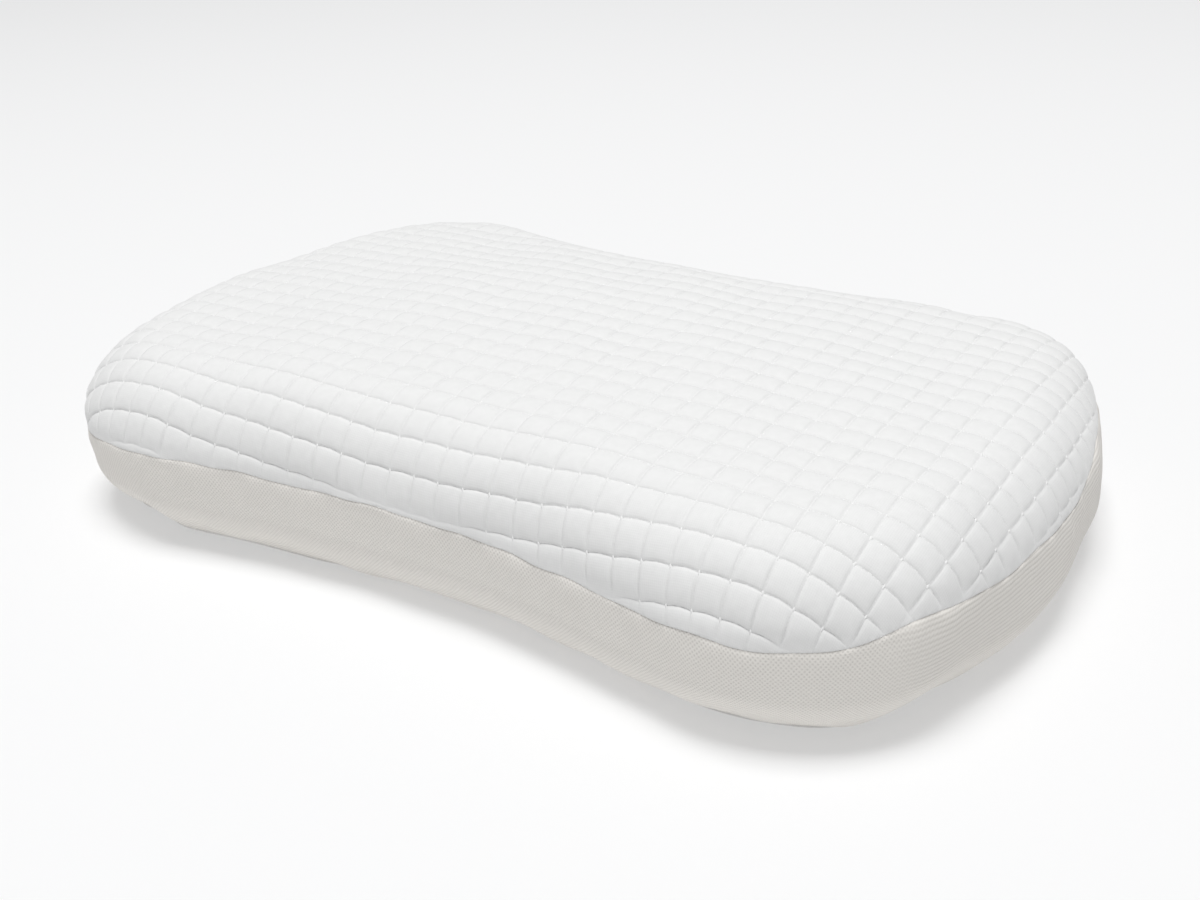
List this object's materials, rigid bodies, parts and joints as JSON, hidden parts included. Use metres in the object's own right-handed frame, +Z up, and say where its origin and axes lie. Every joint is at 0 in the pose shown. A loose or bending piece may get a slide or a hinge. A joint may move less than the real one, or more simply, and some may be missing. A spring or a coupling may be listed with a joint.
{
  "type": "bed pillow",
  "caption": "Contour foam bed pillow with waisted long sides, a quilted knit top, a mesh side band and a zip closing the removable cover at the back.",
  "frame": {"origin": "middle of the flat underside", "axes": "+X along the pillow's length, +Y towards the zipped back, +Z up out of the sleeping face"},
  "size_m": [0.6, 0.38, 0.113],
  "materials": {
    "foam": "matte",
    "liner_cloth": "matte",
    "quilted_knit": "matte",
    "spacer_mesh": "matte",
    "base_cloth": "matte",
    "thread": "matte",
    "zip_tape": "matte",
    "zip_nylon": "satin",
    "zip_metal": "gloss",
    "label_cloth": "matte"
  },
  "bodies": {
    "pillow": {"foam_core": "foam", "liner_upper": "liner_cloth", "liner_lower": "liner_cloth", "liner_seam_thread": "thread", "quilted_top_panel": "quilted_knit", "side_band_front": "spacer_mesh", "side_band_back_upper": "spacer_mesh", "side_band_back_lower": "spacer_mesh", "bottom_panel": "base_cloth", "top_seam_thread": "thread", "bottom_seam_thread": "thread", "band_join_thread_left": "thread", "band_join_thread_right": "thread", "upper_zip_tape": "zip_tape", "lower_zip_tape": "zip_tape", "upper_zip_coil": "zip_nylon", "lower_zip_coil": "zip_nylon", "upper_zip_topstitch": "thread", "lower_zip_topstitch": "thread", "zip_stop_left": "zip_nylon", "zip_stop_right": "zip_nylon", "care_label": "label_cloth"},
    "slider": {"zip_slider": "zip_metal"},
    "pull": {"zip_pull": "zip_metal"}
  },
  "joints": [
    {"name": "zip_travel", "type": "hinge", "parent": "pillow", "child": "slider", "pos_m": [0, 0.8458, 0.0428], "axis": [0, 0, 1], "range_deg": [-24.1, 0]},
    {"name": "pull_swing", "type": "hinge", "parent": "slider", "child": "pull", "pos_m": [0.14117, 0.18583, 0.0428], "axis": [0, 0, 1], "range_deg": [-178, 0]}
  ]
}
